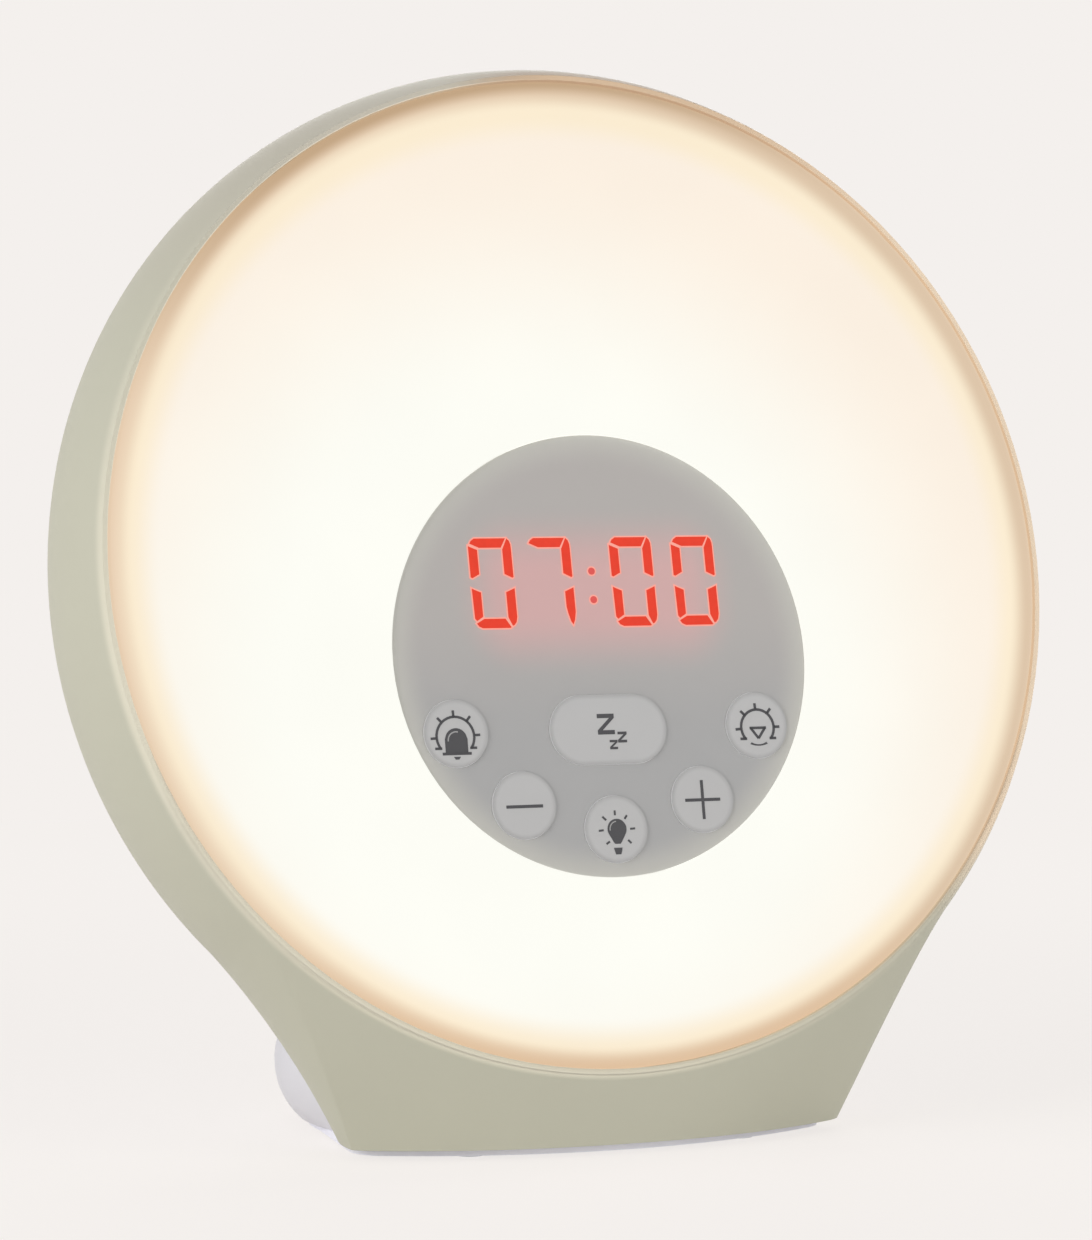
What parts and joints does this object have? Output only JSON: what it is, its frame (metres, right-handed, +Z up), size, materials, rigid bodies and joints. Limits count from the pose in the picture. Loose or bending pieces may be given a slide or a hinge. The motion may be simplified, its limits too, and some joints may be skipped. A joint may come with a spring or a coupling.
{
  "type": "sunrise alarm clock",
  "caption": "Free-standing sunrise alarm clock: a large round lit diffuser leaning back on a bowed neck, with a digital display and push keys set in a grey panel.",
  "frame": {"origin": "middle of the overall width and depth, on the surface that the clock stands on", "axes": "+X to the right seen from the front, +Y towards the back, +Z up; the lit face looks towards -Y and leans back"},
  "size_m": [0.1744, 0.0857, 0.1784],
  "materials": {
    "shell_sage": "satin sage-grey moulding",
    "housing_white": "satin white moulding",
    "foot_rubber": "soft black rubber",
    "diffuser_opal": "opal cover, lit from behind, warm white with a peach edge",
    "panel_grey": "satin grey panel",
    "key_grey": "satin grey key with a dark printed symbol",
    "black_plastic": "black moulding",
    "circuit_board": "green solder mask",
    "display_red": "lit red display bars",
    "inner_white": "white moulding",
    "board_white": "white solder mask",
    "led_yellow": "phosphor-coated light-emitting diode",
    "connector_cream": "cream connector housing",
    "steel": "plain steel",
    "speaker_paper": "black paper cone",
    "magnet_steel": "dark plated magnet",
    "pin_brass": "brass contact pin",
    "cable_grey": "grey ribbon cable",
    "cable_black": "insulated wire"
  },
  "bodies": {
    "housing": {"front_shell": "shell_sage", "rear_housing": "housing_white", "base_plate": "housing_white", "rubber_feet": "foot_rubber", "diffuser": "diffuser_opal", "control_panel": "panel_grey", "key_switches": "black_plastic", "control_board": "circuit_board", "display_module": "black_plastic", "display_segments": "display_red", "light_shield": "inner_white", "reflector": "inner_white", "led_board": "board_white", "leds": "led_yellow", "main_board": "circuit_board", "board_parts": "black_plastic", "connectors": "connector_cream", "cell_holder": "black_plastic", "coin_cell": "steel", "set_switches": "black_plastic", "speaker_frame": "steel", "speaker_cone": "speaker_paper", "speaker_magnet": "magnet_steel", "power_socket": "black_plastic", "socket_pin": "pin_brass", "ribbon_cable": "cable_grey", "led_lead": "cable_black", "speaker_lead": "cable_black", "socket_lead": "cable_black", "shell_screws": "steel", "reflector_screws": "steel", "carrier_screws": "steel", "board_screws": "steel", "control_screws": "steel", "base_screws": "steel"},
    "alarm_key": {"alarm_key": "key_grey"},
    "snooze_key": {"snooze_key": "key_grey"},
    "sunset_key": {"sunset_key": "key_grey"},
    "minus_key": {"minus_key": "key_grey"},
    "plus_key": {"plus_key": "key_grey"},
    "light_key": {"light_key": "key_grey"},
    "hour_key": {"hour_key": "housing_white"},
    "minute_key": {"minute_key": "housing_white"},
    "sound_key": {"sound_key": "housing_white"}
  },
  "joints": [
    {"name": "alarm_key_press", "type": "slide", "parent": "housing", "child": "alarm_key", "axis": [0, 0.9803, -0.1977], "range_m": [0, 0.0007], "stiffness_N_per_m": 150, "springref_m": -0.0003},
    {"name": "snooze_key_press", "type": "slide", "parent": "housing", "child": "snooze_key", "axis": [0, 0.9803, -0.1977], "range_m": [0, 0.0007], "stiffness_N_per_m": 150, "springref_m": -0.0003},
    {"name": "sunset_key_press", "type": "slide", "parent": "housing", "child": "sunset_key", "axis": [0, 0.9803, -0.1977], "range_m": [0, 0.0007], "stiffness_N_per_m": 150, "springref_m": -0.0003},
    {"name": "minus_key_press", "type": "slide", "parent": "housing", "child": "minus_key", "axis": [0, 0.9803, -0.1977], "range_m": [0, 0.0007], "stiffness_N_per_m": 150, "springref_m": -0.0003},
    {"name": "plus_key_press", "type": "slide", "parent": "housing", "child": "plus_key", "axis": [0, 0.9803, -0.1977], "range_m": [0, 0.0007], "stiffness_N_per_m": 150, "springref_m": -0.0003},
    {"name": "light_key_press", "type": "slide", "parent": "housing", "child": "light_key", "axis": [0, 0.9803, -0.1977], "range_m": [0, 0.0007], "stiffness_N_per_m": 150, "springref_m": -0.0003},
    {"name": "hour_key_press", "type": "slide", "parent": "housing", "child": "hour_key", "axis": [0, -0.9803, 0.1977], "range_m": [0, 0.0007], "stiffness_N_per_m": 150, "springref_m": -0.0003},
    {"name": "minute_key_press", "type": "slide", "parent": "housing", "child": "minute_key", "axis": [0, -0.9803, 0.1977], "range_m": [0, 0.0007], "stiffness_N_per_m": 150, "springref_m": -0.0003},
    {"name": "sound_key_press", "type": "slide", "parent": "housing", "child": "sound_key", "axis": [0, -0.9803, 0.1977], "range_m": [0, 0.0007], "stiffness_N_per_m": 150, "springref_m": -0.0003}
  ]
}
